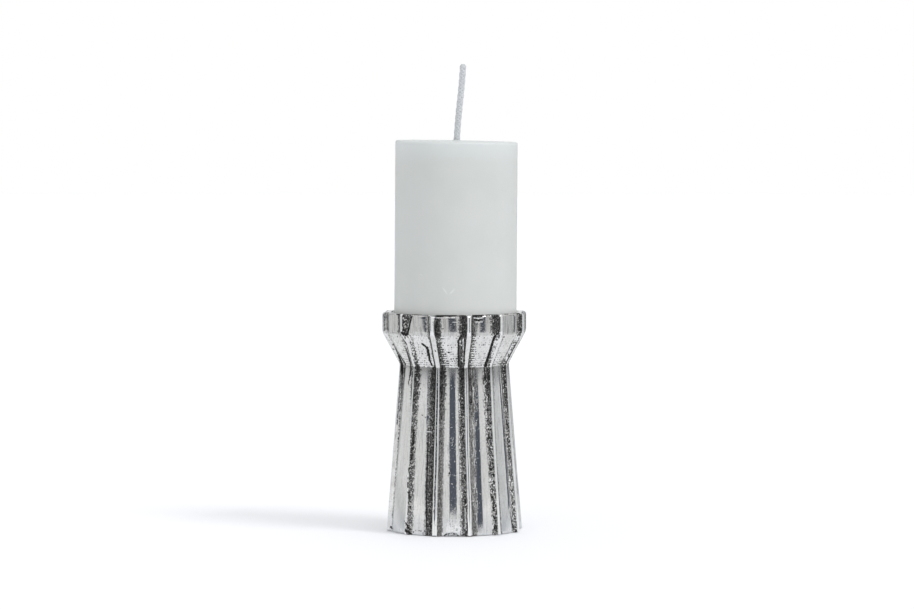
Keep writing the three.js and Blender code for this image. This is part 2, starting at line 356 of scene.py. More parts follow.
def arc(centre_radius, centre_z, size, start, end, steps):
    """A round stretch of a profile, from one angle to another in degrees."""
    turns = np.radians(np.linspace(start, end, steps))
    return [(centre_radius + size * math.cos(a), centre_z + size * math.sin(a)) for a in turns]


def soft_step(x, rounding):
    """max(x, 0) with a round corner."""
    return 0.5 * (x + np.sqrt(x * x + rounding * rounding))


def turned_away(angle, degrees):
    """How far angles are from one in degrees, in radians from -pi to pi."""
    return (angle - math.radians(degrees) + math.pi) % (2 * math.pi) - math.pi


def noise_at(points, size, seed, stretch=(1, 1, 1)):
    """Smooth noise from -1 to 1 at points in millimetres, with features of that size."""
    shift = Vector((seed * 17.3, seed * 5.1, seed * 9.7))
    scaled = np.asarray(points).reshape(-1, 3) / (size * np.asarray(stretch, float))
    values = [noise.noise(Vector(p) + shift) for p in scaled]
    return np.array(values).reshape(np.asarray(points).shape[:-1])


def noise_up(z, line, seed, size):
    """Smooth noise at the heights z, different for each line."""
    return np.array([noise.noise(Vector((line, seed, h / size))) for h in z])


# Casting

def crest_radius(z):
    """Radius over the crests: a straight taper, the flare and the upright band."""
    taper = (NECK_RADIUS - FOOT_RADIUS) / COLUMN_HEIGHT
    flare = (BAND_RADIUS - NECK_RADIUS) / FLARE_HEIGHT
    radius = FOOT_RADIUS + taper * (z - FOOT_Z)
    radius = radius + (flare - taper) * soft_step(z - NECK_Z, NECK_ROUNDING)
    return radius - flare * soft_step(z - BAND_Z, BAND_ROUNDING)


def outer_levels():
    """Heights and insets of the fluted rings, from the foot's edge up to the rim's."""
    turn = np.linspace(0, math.pi / 2, EDGE_RINGS)
    foot = [(FOOT_Z + FOOT_ROUNDING * (1 - math.cos(a)), FOOT_ROUNDING * (1 - math.sin(a))) for a in turn]
    rim = [(RIM_Z - RIM_ROUNDING * (1 - math.sin(a)), RIM_ROUNDING * (1 - math.cos(a))) for a in turn]
    stretches = (
        (FOOT_Z + FOOT_ROUNDING, NECK_Z - 2, 102),
        (NECK_Z - 2, NECK_Z + 2, 14),
        (NECK_Z + 2, BAND_Z - 1.5, 26),
        (BAND_Z - 1.5, BAND_Z + 1.5, 8),
        (BAND_Z + 1.5, RIM_Z - RIM_ROUNDING, 13),
    )
    middle = [z for low, high, rings in stretches for z in np.linspace(low, high, rings, endpoint=False)]
    return np.array(foot + [(z, 0.0) for z in middle[1:]] + rim)


def along(z, values):
    """A plain number, or values given at STATION_HEIGHTS, at each of the heights z."""
    if not isinstance(values, tuple):
        return np.full(len(z), values)
    if len(values) == 6:
        values = values[:4] + values[3:]
    return np.interp(z, STATION_HEIGHTS, values)


def for_ribs(values):
    """Columns of values, one for each rib."""
    return np.stack([values(rib) for rib in range(RIB_COUNT)], 1)


def rib_places(z):
    """Each rib's angle at each height, in radians."""
    def place(rib):
        if rib in RIB_ANGLES:
            angle = along(z, RIB_ANGLES[rib])
        else:
            even = RIB_TURN + rib * 360 / RIB_COUNT
            angle = even + RIB_DRIFT[rib] + 0.3 * noise_up(z, rib * 7.7, 0.5, 28)
        return np.radians(angle % 360)
    return for_ribs(place)


def edge_waver(z, seed, size, amount):
    """Small changes of an edge's place along each rib, in radians."""
    return np.radians(for_ribs(lambda rib: amount * noise_up(z, rib * 3.3 + seed, seed * 2.1, size)))


def rim_corner(z, side):
    """How far each crest spreads at the rim, where the flute's upper corners are rounded, in radians."""
    def spread(rib):
        size = RIM_CORNERS.get(rib, (RIM_CORNER, RIM_CORNER))[side]
        into = np.clip((z - (RIM_Z - size)) / size, 0, 0.98)
        return size * (1 - np.sqrt(1 - into ** 2)) / BAND_RADIUS
    return for_ribs(spread)


def chance_wall(rib, side):
    """A wall of a rib that isn't listed."""
    draw = random.Random(rib * 2 + side)
    width = WALL_ANGLE + draw.uniform(-0.9, 0.9)
    column, flare, band = draw.uniform(0.5, 1.0), draw.uniform(0.2, 0.8), draw.uniform(0.7, 1.0)
    dark = (column, column, 1.0, flare, band, band)
    return Wall(width, dark, SHORT_REACH, draw.uniform(0.1, 1.0), draw.uniform(0.0, 0.6))


def wall_values(z, side, quality):
    """One quality of every rib's wall on one side, at each height."""
    return for_ribs(lambda rib: along(z, getattr(WALLS.get((rib, side)) or chance_wall(rib, side), quality)))


def wall_widths(z, side):
    """Width of each rib's wall on one side, in radians."""
    return np.radians(wall_values(z, side, "width")) + edge_waver(z, 2 + side, 4, 0.35)


def crest_shaping(place, across, over, in_band):
    """How far each crest stands over the round outline, where it was filed slanting or more curved."""
    tilt = np.zeros_like(place)
    curve = np.full(RIB_COUNT, CREST_CURVE)
    for rib, (facing, radius, band_share) in CREST_FACING.items():
        off = (np.degrees(place[:, rib].mean()) - facing + 180) % 360 - 180
        tilt[:, rib] = math.tan(math.radians(off)) * (1 - in_band[:, 0, 0] * (1 - band_share))
        curve[rib] = radius
    return tilt[:, :, None] * across - 0.5 * across ** 2 * (1 / curve[None, :, None] - 1 / over)


def on_side(side, left, right):
    """Left values for samples left of a rib's middle, and right values for the others."""
    return np.where(side < 0, left[:, :, None], right[:, :, None])


def floor_twist(side):
    """The slope of each flute's floor in the band."""
    slope = np.array([math.tan(math.radians(BAND_TWISTS.get(rib, 0))) for rib in range(RIB_COUNT)])
    return on_side(side, np.roll(slope, 1)[None, :], slope[None, :])


def fluted_rings():
    """Heights, angles and radii of every ring of the outside, with numbers for the finish at each point.

    The climb is 0 at the foot of a flute's wall and 1 at the edge of the crest.
    """
    levels = outer_levels()
    z, inset = levels[:, 0], levels[:, 1, None, None]
    place = rib_places(z)
    gap_right = (np.roll(place, -1, 1) - place) % (2 * math.pi) / 2
    gap_left = np.roll(gap_right, 1, 1)
    half_crest = np.radians(for_ribs(lambda rib: along(z, CREST_ANGLES.get(rib, CREST_ANGLE)))) / 2
    half_crest = half_crest + edge_waver(z, 1, 5, 0.15)
    side = np.arange(-HALF_SAMPLES, HALF_SAMPLES)
    sign, away = np.sign(side), np.abs(side)
    on_crest = np.clip(away / CREST_SAMPLES, 0, 1)
    on_wall = np.clip((away - CREST_SAMPLES) / WALL_SAMPLES, 0, 1)
    on_floor = np.clip((away - CREST_SAMPLES - WALL_SAMPLES) / FLOOR_SAMPLES, 0, 1) ** FLOOR_SPACING
    crest = on_side(side, half_crest + rim_corner(z, LEFT), half_crest + rim_corner(z, RIGHT))
    wall = on_side(side, wall_widths(z, LEFT), wall_widths(z, RIGHT))
    gap = on_side(side, gap_left, gap_right)
    offset = on_crest * crest + on_wall * wall + on_floor * (gap - crest - wall)
    climb = (crest + wall - offset) / wall
    height = (soft_step(climb, RIB_ROUNDING) - soft_step(climb - 1, RIB_ROUNDING)) ** COVE
    over = crest_radius(z)[:, None, None]
    in_band = np.clip((z - BAND_Z + 1) / 2, 0, 1)[:, None, None]
    shaping = crest_shaping(place, sign * offset * over, over, in_band) * np.clip(climb, 0, 1) ** 2
    shaping = shaping + in_band * floor_twist(side) * sign * (offset - gap) * over * np.clip(1 - climb, 0, 1)
    radius = over - FLUTE_DEPTH * (1 - height) - inset + shaping
    angle = place[:, :, None] + sign * offset
    shape = (len(z), RIB_COUNT * 2 * HALF_SAMPLES)
    finish = {"climb": climb.reshape(shape)}
    for quality in ("dark", "reach", "grit", "streak", "tone"):
        values = on_side(side, wall_values(z, LEFT, quality), wall_values(z, RIGHT, quality))
        finish[quality] = (values * np.ones_like(angle)).reshape(shape)
    return z, angle.reshape(shape), radius.reshape(shape), finish


def distance_to(lines, z, angle, radius):
    """How far each point is outside the nearest line's edge, in millimetres along the surface."""
    nearest = np.full(radius.shape, NO_MARK)
    for half_width, stops in lines:
        first_angle, first_z = stops[0]
        x = turned_away(angle, first_angle) * radius
        y = z[:, None] - first_z
        for (a0, z0), (a1, z1) in zip(stops, stops[1:]):
            start = (math.radians(a0) - math.radians(first_angle)) * radius, z0 - first_z
            step = math.radians(a1 - a0) * radius, z1 - z0
            share = ((x - start[0]) * step[0] + (y - start[1]) * step[1]) / (step[0] ** 2 + step[1] ** 2)
            share = np.clip(share, 0, 1)
            far = np.hypot(x - start[0] - share * step[0], y - start[1] - share * step[1])
            nearest = np.minimum(nearest, far - half_width)
    return nearest


# Dents in the casting: angle in degrees, height, half width, half height and depth
DENTS = (
    (-2.0, 0.3, 2.8, 0.9, 0.4),
    (-72.0, 1.3, 0.9, 0.7, 0.4),
    (-46.0, 5.0, 0.8, 0.9, 0.4),
    (-42.5, 1.5, 0.8, 1.2, 0.5),
)
CHANCE_DENTS = 50
FULL_DENT = 0.4


def all_dents():
    """The dents that show from the front, and small chance ones on the other sides."""
    draw = random.Random(11)
    dents = list(DENTS)
    for _ in range(CHANCE_DENTS):
        z = draw.uniform(1, 97)
        size = draw.uniform(0.3, 0.5)
        dents.append((draw.uniform(75, 285), z, size, size * draw.uniform(0.7, 1.6), draw.uniform(0.05, 0.2)))
    return dents


def dent_depths(z, angle, radius):
    """How deep in a dent each point lies."""
    sunk = np.zeros_like(radius)
    for degrees, height, half_width, half_height, depth in all_dents():
        across = turned_away(angle, degrees) * radius / half_width
        far = across ** 2 + ((z[:, None] - height) / half_height) ** 2
        sunk = np.maximum(sunk, depth * np.exp(-far ** 2))
    return sunk


def worn_radius(z, angle, radius, finish):
    """The radii with rough walls, a wavy surface, a filed rim, and sunk stains and painted lines of shade."""
    points = ring(angle, radius, z[:, None])
    climb, dark, grit = finish["climb"], finish["dark"], finish["grit"]
    on_wall = np.clip(climb / 0.15, 0, 1) * np.clip((1.02 - climb) / 0.12, 0, 1)
    rough = 0.09 * noise_at(points, 1.1, 1) + 0.07 * noise_at(points, 0.6, 2)
    wave = 0.012 * noise_at(points, 20, 3, (1, 1, 2.5))
    at_rim = np.clip((z - RIM_Z + FILED_HEIGHT) / FILED_HEIGHT, 0, 1)[:, None]
    filed = at_rim * (0.22 * noise_at(points, 2.6, 4, (1, 1, 3)) - 0.16)
    moved = radius + on_wall * dark * (0.5 + 0.8 * grit) * rough + wave + filed - SKIN_INSET
    return moved - STAIN_AND_SHADE_DEPTH * np.clip(-finish["stain"] / 0.3, 0, 1)


def blend_rings(first, last, steps):
    """Rings between two others, without them."""
    return [first + (last - first) * i / (steps + 1) for i in range(1, steps + 1)]


def underside_profile():
    """From the ceiling's middle down the hollow and round the felt's recess to the foot's inner edge."""
    foot_radius = FOOT_RADIUS - FLUTE_DEPTH - COLUMN_WALL
    top_radius = NECK_RADIUS - FLUTE_DEPTH - COLUMN_WALL
    recess_radius = (FELT_HIGH.x - FELT_LOW.x) / 2 + FELT_GAP
    side_z = HOLLOW_TOP_Z - HOLLOW_CORNER
    side_height = side_z - FELT_HIGH.z
    edge = 0.15
    sides = [(top_radius + (foot_radius - top_radius) * share, side_z - side_height * share)
             for share in np.linspace(0.1, 0.98, 9)]
    return [
        *((r, HOLLOW_TOP_Z) for r in (1.5, 8.0, 13.0)),
        *arc(top_radius - HOLLOW_CORNER, side_z, HOLLOW_CORNER, 90, 0, 6),
        *sides,
        (foot_radius + 0.2, FELT_HIGH.z),
        (recess_radius - edge, FELT_HIGH.z),
        (recess_radius, FELT_HIGH.z - edge),
        (recess_radius, FOOT_Z + edge),
        (recess_radius + edge, FOOT_Z + 0.02),
    ]


def cup_profile():
    """From the rim's inner edge down the cup to its floor's middle."""
    low = CUP_FLOOR_Z + CUP_CORNER
    return [
        *arc(CUP_RADIUS + RIM_ROUNDING, RIM_Z - RIM_ROUNDING, RIM_ROUNDING, 90, 180, 5),
        *((CUP_RADIUS, z) for z in np.linspace(RIM_Z - 2, low + 1, 5)),
        *arc(CUP_RADIUS - CUP_CORNER, low, CUP_CORNER, 0, -90, 5),
        *((r, CUP_FLOOR_Z) for r in (22.0, 12.0, 1.5)),
    ]


def fluted_casting():
    """The whole casting as one closed skin, from the hollow's ceiling over the outside to the cup's floor."""
    z, angle, radius, finish = fluted_rings()
    finish["stain"] = distance_to(STAINS_AND_PAINTED_SHADE, z, angle, radius)
    finish["nick"] = distance_to(NICKS, z, angle, radius)
    sunk = dent_depths(z, angle, radius)
    finish["mark"] = sunk / FULL_DENT
    outside = list(ring(angle, worn_radius(z, angle, radius - sunk, finish), z[:, None]))
    below = profile_rings(angle[0], underside_profile())
    above = profile_rings(angle[-1], cup_profile())
    below += blend_rings(below[-1], outside[0], 2)
    above = blend_rings(outside[-1], above[0], 3) + above
    rings = below + outside + above
    count = angle.shape[1]
    points = np.concatenate([*rings, [[0, 0, HOLLOW_TOP_Z], [0, 0, CUP_FLOOR_Z]]])
    faces = skin_faces(len(rings), count)
    faces += pole_faces(0, count, len(points) - 2, False)
    faces += pole_faces((len(rings) - 1) * count, count, len(points) - 1, True)
    before = len(below) * count
    after = len(points) - before - angle.size
    elsewhere = {"climb": -9.0, "stain": NO_MARK, "nick": NO_MARK}
    numbers = {"hollow": np.repeat([1.0, 0.0], (before, angle.size + after))}
    for label, values in finish.items():
        rest = elsewhere.get(label, 0.0)
        numbers[label] = np.concatenate([np.full(before, rest), values.ravel(), np.full(after, rest)])
    return mesh_piece("fluted_casting", points, faces, numbers)


# Candle

def lathe(name, profile, segments, warp):
    """Revolves a closed profile of (radius, height) pairs, outer side rising, and warps the points."""
    points = warp(np.concatenate(profile_rings(round_angles(segments), profile)))
    return mesh_piece(name, points, skin_faces(len(profile), segments, True))


def from_axis(points):
    """How far points are from the axis, and which way they lie."""
    far = np.linalg.norm(points[:, :2], axis=1)
    return far, points[:, :2] / np.maximum(far, 1e-6)[:, None]


CANDLE_SIDESTEP = 0.4
CANDLE_LEAN = 0.0066
BASE_BEVEL = 2.2
TOP_BEVEL = 1.1
WICK_THICKNESS = 2.9
WICK_RISE = WICK_HIGH.z - WAX_HIGH.z


def lean(points):
    """The candle stands a little to the right in its cup, and leans that way."""
    moved = points.copy()
    moved[:, 0] += CANDLE_SIDESTEP + CANDLE_LEAN * (points[:, 2] - WAX_LOW.z)
    return moved


def pillar_wax():
    """The wax, with a slightly dished top, a bore for the wick and a seat for its clip."""
    radius = (WAX_HIGH.x - WAX_LOW.x) / 2
    low, high = WAX_LOW.z, WAX_HIGH.z
    bore = WICK_THICKNESS / 2 + 0.25
    clip_radius = (CLIP_HIGH.x - CLIP_LOW.x) / 2 + 0.3
    neck_radius = bore + 0.75
    flat_radius = radius - TOP_BEVEL

    def dished(r):
        return high - 0.35 * math.sin(math.pi * min(1, (flat_radius - r) / (radius - 8)))

    profile = [
        (clip_radius, low + 0.1), (clip_radius + 0.3, low), (12, low), (18, low), (24, low),
        *arc(radius - BASE_BEVEL, low + BASE_BEVEL, BASE_BEVEL, -90, 0, 7),
        *((radius, z) for z in np.linspace(low + BASE_BEVEL, high - TOP_BEVEL, 60)[1:-1]),
        *arc(flat_radius, high - TOP_BEVEL, TOP_BEVEL, 0, 90, 8),
        *((r, dished(r)) for r in np.linspace(flat_radius, 6, 14)[1:]),
        (4.2, high - 0.25), (3.0, high - 0.05), (2.2, high + 0.25), (bore - 0.1, high + 0.6),
        (bore, high - 4), (bore, low + 6.7), (neck_radius, low + 6.7), (neck_radius, low + 0.7),
        (clip_radius, low + 0.7),
    ]

    def warp(points):
        moved = lean(points)
        far, outward = from_axis(points)
        swell = 0.05 * noise_at(points, 22, 5) + 0.015 * noise_at(points, 4, 6)
        side = np.clip((far - radius + 3) / 3, 0, 1)
        moved[:, :2] += outward * (swell * side + 0.08)[:, None]
        near_top = np.clip((points[:, 2] - high + 3) / 3, 0, 1)
        slant = 0.55 * points[:, 0] / radius
        moved[:, 2] -= near_top * (slant + side * (0.1 + 0.12 * noise_at(points, 9, 7)))
        return moved

    return lathe("pillar_wax", profile, 240, warp)


def wick_centre(z):
    """The wick's middle line: upright in the wax, then leaning right."""
    top = WAX_HIGH.z
    x = CANDLE_SIDESTEP + CANDLE_LEAN * (min(z, top) - WAX_LOW.z) + 0.1
    rise = max(z - top, 0) / WICK_RISE
    reach = 3.2 * (rise - 0.04 * math.sin(2 * math.pi * rise))
    return Vector((x + reach, 0.25 * math.sin(3.2 * rise), z))


BRAID_PITCH = 7.0
BRAID_RADIUS = 0.93
STRAND_RADIUS = 0.62


def strand_points(strand, handed, z_values, tip_z):
    """Middle line of one strand of the braid, passing over and under the strands of the other hand."""
    points = []
    phase = strand * math.pi / 2 + (math.pi / 4 if handed < 0 else 0)
    for z in z_values:
        turn = phase + handed * 2 * math.pi * z / BRAID_PITCH
        weave = 0.10 * math.cos(8 * math.pi * z / BRAID_PITCH + strand * math.pi) * handed
        close = min(1.0, max(0.0, (tip_z - z) / 1.3)) ** 0.5
        reach = (BRAID_RADIUS + weave) * (0.35 + 0.65 * close)
        points.append(wick_centre(z) + Vector((reach * math.cos(turn), reach * math.sin(turn), 0)))
    return points


def tube(points, radii, sides):
    """Rings of points round a line, square to it."""
    rings = []
    for i, point in enumerate(points):
        ahead = points[min(i + 1, len(points) - 1)] - points[max(i - 1, 0)]
        ahead.normalize()
        right = ahead.cross(Vector((0, 1, 0.01))).normalized()
        front = right.cross(ahead).normalized()
        for k in range(sides):
            a = 2 * math.pi * k / sides
            rings.append(point + (math.cos(a) * right + math.sin(a) * front) * float(radii[i]))
    return rings


def add_tube(points, faces, line, radii, sides):
    """Adds a closed tube round a line to lists of points and faces."""
    first = len(points)
    last = first + (len(line) - 1) * sides
    points += tube(line, radii, sides)
    points += [line[0], line[-1]]
    added = [tuple(first + i for i in face) for face in skin_faces(len(line), sides)]
    added += pole_faces(first, sides, len(points) - 2, False)
    added += pole_faces(last, sides, len(points) - 1, True)
    faces += [face[::-1] for face in added]


def braided_wick():
    """Eight waxed strands round a core, from the clip to a rounded tip."""
    points, faces = [], []
    tip = WICK_HIGH.z - 0.35
    visible = np.arange(WAX_HIGH.z - 4, tip, 0.3)
    radii = [STRAND_RADIUS * (0.75 + 0.25 * min(1.0, (tip - z) / 0.8 + 0.2)) for z in visible]
    for strand in range(4):
        for handed in (1, -1):
            add_tube(points, faces, strand_points(strand, handed, visible, tip), radii, 8)
    core_z = np.concatenate([[WICK_LOW.z + 0.05], np.arange(WICK_LOW.z + 2, tip - 0.2, 1.5)])
    core_radii = [1.35 if z < WAX_HIGH.z - 3 else 1.0 for z in core_z]
    add_tube(points, faces, [wick_centre(z) for z in core_z], core_radii, 16)
    return mesh_piece("braided_wick", [tuple(p) for p in points], faces)


def wick_clip():
    """Tinned disc with a rolled edge and a neck crimped on three sides."""
    low, high = CLIP_LOW.z, CLIP_HIGH.z
    outer = (CLIP_HIGH.x - CLIP_LOW.x) / 2
    sheet = 0.4
    bore = WICK_THICKNESS / 2 + 0.3
    neck = bore + sheet
    profile = [
        (bore + 0.3, low), (4.0, low), (5.2, low + 0.06),
        *arc(outer - sheet / 2, low + sheet / 2, sheet / 2, -90, 90, 7),
        (5.2, low + sheet + 0.02), (4.0, low + sheet), (neck + 0.4, low + sheet),
        (neck + 0.1, low + sheet + 0.25), (neck, low + sheet + 0.6),
        *((neck, z) for z in np.linspace(low + 1.4, high - 0.15, 12)),
        (neck - 0.12, high), (bore + 0.12, high), (bore, high - 0.15),
        *((bore, z) for z in np.linspace(high - 0.4, low + 1.4, 12)),
        (bore, low + 0.5), (bore + 0.08, low + 0.15),
    ]

    def warp(points):
        moved = points.copy()
        angle = np.arctan2(points[:, 1], points[:, 0])
        crimp = np.exp(-((points[:, 2] - (low + 4.0)) / 0.9) ** 2)
        on_neck = (from_axis(points)[0] < neck + 0.05) * (points[:, 2] > low + 1.0)
        pinch = 1 - 0.16 * on_neck * crimp * np.clip(np.cos(3 * angle), 0, 1)
        moved[:, :2] *= pinch[:, None]
        moved[:, 0] += CANDLE_SIDESTEP
        return moved

    return lathe("wick_clip", profile, 96, warp)


def felt_ring():
    """Felt ring with soft, slightly uneven edges."""
    outer = (FELT_HIGH.x - FELT_LOW.x) / 2
    inner = outer - FELT_WIDTH
    low, high = FELT_LOW.z, FELT_HIGH.z
    soft = 0.25
    profile = [
        *((r, low) for r in np.linspace(inner + soft, outer - soft, 8)),
        *arc(outer - soft, low + soft, soft, -90, 0, 4)[1:],
        (outer, high),
        *((r, high) for r in np.linspace(outer - soft, inner + soft, 5)),
        (inner, high),
        *arc(inner + soft, low + soft, soft, 180, 270, 4)[:-1],
    ]

    def warp(points):
        moved = points.copy()
        moved[:, :2] += from_axis(points)[1] * (0.08 * noise_at(points, 2.0, 8) - 0.06)[:, None]
        return moved

    return lathe("felt_ring", profile, 300, warp)


# Materials

class Shade:
    """What a node gives at each point of a surface, to be added and multiplied like a plain number."""

    def __init__(self, made, output=0):
        self.tree = made.id_data
        self.socket = made.outputs[output]

    def __add__(self, other):
        return maths("ADD", self, other)

    def __sub__(self, other):
        return maths("SUBTRACT", self, other)

    def __rsub__(self, other):
        return maths("SUBTRACT", other, self)

    def __mul__(self, other):
        return maths("MULTIPLY", self, other)

    def __truediv__(self, other):
        return maths("DIVIDE", self, other)

    def clamped(self):
        """Keeps what the last operation gives between 0 and 1."""
        self.socket.node.use_clamp = True
        return self


def set_inputs(made, inputs):
    """Links shades to a node's inputs, and sets plain values on them."""
    for key, value in inputs.items():
        if isinstance(value, Shade):
            value.tree.links.new(value.socket, made.inputs[key])
        else:
            made.inputs[key].default_value = value


def node(tree, kind, inputs=None, **settings):
    """A new node with its settings and inputs."""
    made = tree.nodes.new(kind)
    for key, value in settings.items():
        setattr(made, key, value)
    set_inputs(made, inputs or {})
    return made


def maths(operation, first, second=0.0):
    """One operation on two values, at least one of them a shade."""
    tree = first.tree if isinstance(first, Shade) else second.tree
    return Shade(node(tree, "ShaderNodeMath", {0: first, 1: second}, operation=operation))


def remap(value, low, high, to_low=0.0, to_high=1.0):
    """A soft step from one value at low to another at high."""
    inputs = {"Value": value, "From Min": low, "From Max": high, "To Min": to_low, "To Max": to_high}
    return Shade(node(value.tree, "ShaderNodeMapRange", inputs, interpolation_type="SMOOTHSTEP"))


def mixed_colour(share, first, second):
    """The first colour where the share is 0 and the second where it is 1."""
    return Shade(node(share.tree, "ShaderNodeMix", {0: share, 6: first, 7: second}, data_type="RGBA"), 2)


def linear(red, green, blue):
    """An sRGB colour in 0 to 255 as linear RGBA."""
    def one(value):
        share = value / 255
        return share / 12.92 if share <= 0.04045 else ((share + 0.055) / 1.055) ** 2.4
    return (one(red), one(green), one(blue), 1.0)


def layered(base, *layers):
    """A base colour under others, each with the share of it that shows. Colours are sRGB."""
    colour = linear(*base)
    for share, over in layers:
        colour = mixed_colour(share, colour, linear(*over))
    return colour


def place_in_object(tree):
    """Where a point is in its object, in metres."""
    return Shade(node(tree, "ShaderNodeTexCoord"), "Object")


def grain(tree, size, detail=2.0, stretch=(1, 1, 1)):
    """Noise whose features have that size in millimetres, stretched along each axis."""
    scale = [1 / (size * MM * s) for s in stretch]
    mapping = node(tree, "ShaderNodeMapping", {"Vector": place_in_object(tree), "Scale": scale})
    return noise_shade(Shade(mapping), detail)


def noise_shade(place, detail):
    """Noise from 0 to 1 at a place."""
    inputs = {"Vector": place, "Scale": 1.0, "Detail": detail}
    return Shade(node(place.tree, "ShaderNodeTexNoise", inputs), "Fac")


def separated(place):
    """A node with a place's X, Y and Z."""
    return node(place.tree, "ShaderNodeSeparateXYZ", {"Vector": place})


def combined(across, up):
    """A place on a flat sheet."""
    return Shade(node(across.tree, "ShaderNodeCombineXYZ", {"X": across, "Y": up}))


def number_on_points(tree, label):
    """A number that the mesh has at each point."""
    return Shade(node(tree, "ShaderNodeAttribute", attribute_name=label), "Fac")


def new_material(name):
    """A material with its node tree and its shader."""
    material = bpy.data.materials.new(name)
    material.use_nodes = True
    return material, material.node_tree, material.node_tree.nodes["Principled BSDF"]


def bump(height, distance, below=None):
    """A normal for a height of that many millimetres, over another bump where one is given."""
    inputs = {"Height": height, "Distance": distance * MM, "Strength": 1.0}
    if below is not None:
        inputs["Normal"] = below
    return Shade(node(height.tree, "ShaderNodeBump", inputs), "Normal")


def height_share(tree, low, high):
    """0 below one height and 1 above the other, in millimetres, with a soft change between."""
    return remap(Shade(separated(place_in_object(tree)), "Z"), low * MM, high * MM)


UNROLLED_RADIUS = 32


def around_and_up(tree):
    """Object coordinates unrolled: distance round the stand, height and nothing, in metres."""
    parts = separated(place_in_object(tree))
    turn = maths("ARCTAN2", Shade(parts, "X"), Shade(parts, "Y") * -1.0)
    return combined(turn * (UNROLLED_RADIUS * MM), Shade(parts, "Z"))


PIT_PITCH = 0.8
PIT_DISORDER = 0.7


def pits(tree, chance):
    """Small round spots near a square grid. The chance is the share of spots kept."""
    cells = node(tree, "ShaderNodeTexVoronoi", {
        "Vector": around_and_up(tree), "Scale": 1 / (PIT_PITCH * MM), "Randomness": PIT_DISORDER,
    }, voronoi_dimensions="2D")
    luck = node(tree, "ShaderNodeSeparateColor", {"Color": Shade(cells, "Color")})
    return remap(Shade(cells, "Distance"), 0.32, 0.2) * maths("LESS_THAN", Shade(luck, "Red"), chance)


def casting_shades(tree):
    """What the casting's finish is made from: numbers on its points, grains and shares of its height."""
    labels = ("climb", "dark", "reach", "grit", "streak", "tone", "stain", "nick", "mark", "hollow")
    made = SimpleNamespace(**{label: number_on_points(tree, label) for label in labels})
    made.fine = grain(tree, 0.30, 2.0)
    made.lines = grain(tree, 0.42, 2.0, (1, 1, 30))
    made.brushed = grain(tree, 0.8, 3.0, (1, 1, 25))
    made.speckle = grain(tree, 0.8, 2.0)
    made.cloud = grain(tree, 9.0, 2.0, (1, 1, 2.5))
    made.grains = (grain(tree, 0.75, 3.0, (1, 1, 1.5)) - 0.5) * 2.4 + (made.speckle - 0.5) * 2.8
    made.band = height_share(tree, BAND_Z - 0.8, BAND_Z + 0.2)
    made.below_neck = 1.0 - height_share(tree, NECK_Z - 0.6, NECK_Z)
    made.flare = (1.0 - made.band - made.below_neck).clamped()
    made.low_down = 1.0 - height_share(tree, NECK_Z - 34, NECK_Z - 3)
    made.stained = remap(made.stain + made.grains * 0.32, 0.16, -0.10)
    made.bare = remap(made.nick + (made.fine - 0.5) * 0.6, 0.10, -0.08)
    # Partly real haze, partly painted shade: the polished metal darkens and roughens towards the neck under
    # the flare
    under_neck = height_share(tree, NECK_Z - 18, NECK_Z)
    made.haze = under_neck * under_neck * remap(made.cloud, 0.3, 0.7, 0.3, 0.75) * made.below_neck
    made.cover = wall_cover(made)
    return made


def wall_cover(cast):
    """How much the walls' dark skin covers: broken by grains where gritty and by lines where streaked."""
    reach = cast.reach * remap(cast.flare, 0.0, 1.0, 1.0, 0.4)
    ramp = ((cast.climb + reach + 0.15) / (reach + 0.55)).clamped()
    body = ramp * cast.dark
    gate = (body * 3.0).clamped()
    uneven = cast.grains * remap(cast.grit, 0.0, 1.0, 0.4, 1.0) + (cast.lines - 0.5) * 3.5 * cast.streak
    level = body * remap(cast.grit, 0.0, 1.0, 1.15, 0.85) + uneven * gate
    return remap(level, 0.32, 0.62) * remap(cast.climb, 1.03, 0.94)


ROW_PITCH = 1.13
DASH_LENGTH = 0.55
ROW_SHIFT = 7.3


def chatter_rows(tree, cast):
    """Short level dashes in rows on the flare, thickest beside the walls where the dark reaches far."""
    parts = separated(around_and_up(tree))
    rows = Shade(parts, "Y") / (ROW_PITCH * MM) + (grain(tree, 1.6, 1.0) - 0.5) * 1.1
    in_row = remap(maths("ABSOLUTE", maths("FRACT", rows) - 0.5), 0.34, 0.18)
    place = combined(Shade(parts, "X") / (DASH_LENGTH * MM), maths("FLOOR", rows) * ROW_SHIFT)
    chance = noise_shade(place, 1.0)
    beside = ((cast.climb + cast.reach) / (cast.reach + 0.2)).clamped()
    beside = beside * remap(cast.reach, 0.2, 2.2, 0.05, 0.38)
    low = (1.0 - height_share(tree, NECK_Z + 1, NECK_Z + 8)) * 0.11
    dashes = remap(chance + (beside + low), 0.58, 0.64) * in_row
    return dashes * remap(cast.climb, 1.0, 0.9) * cast.flare


def dark_share(tree, cast):
    """Where the metal is dark: walls' skin, patina and painted shade under the flare, dashes, pits and
    stains.
    """
    # Patina and painted shade in the crease under the flare
    crease_patina_and_shade = height_share(tree, NECK_Z - 5, NECK_Z + 1) + cast.grains * 0.5
    layers = (
        remap(crease_patina_and_shade, 0.65, 1.2) * cast.below_neck * 0.75,
        chatter_rows(tree, cast) * 0.9,
        pits(tree, remap(cast.cloud, 0.45, 0.65) * 0.10) * 0.6,
        cast.stained,
        remap(cast.mark, 0.35, 0.9) * 0.35,
        cast.hollow * 0.75,
    )
    dark = cast.cover
    for layer in layers:
        dark = maths("MAXIMUM", dark, layer)
    return (dark * (1.0 - cast.bare)).clamped()


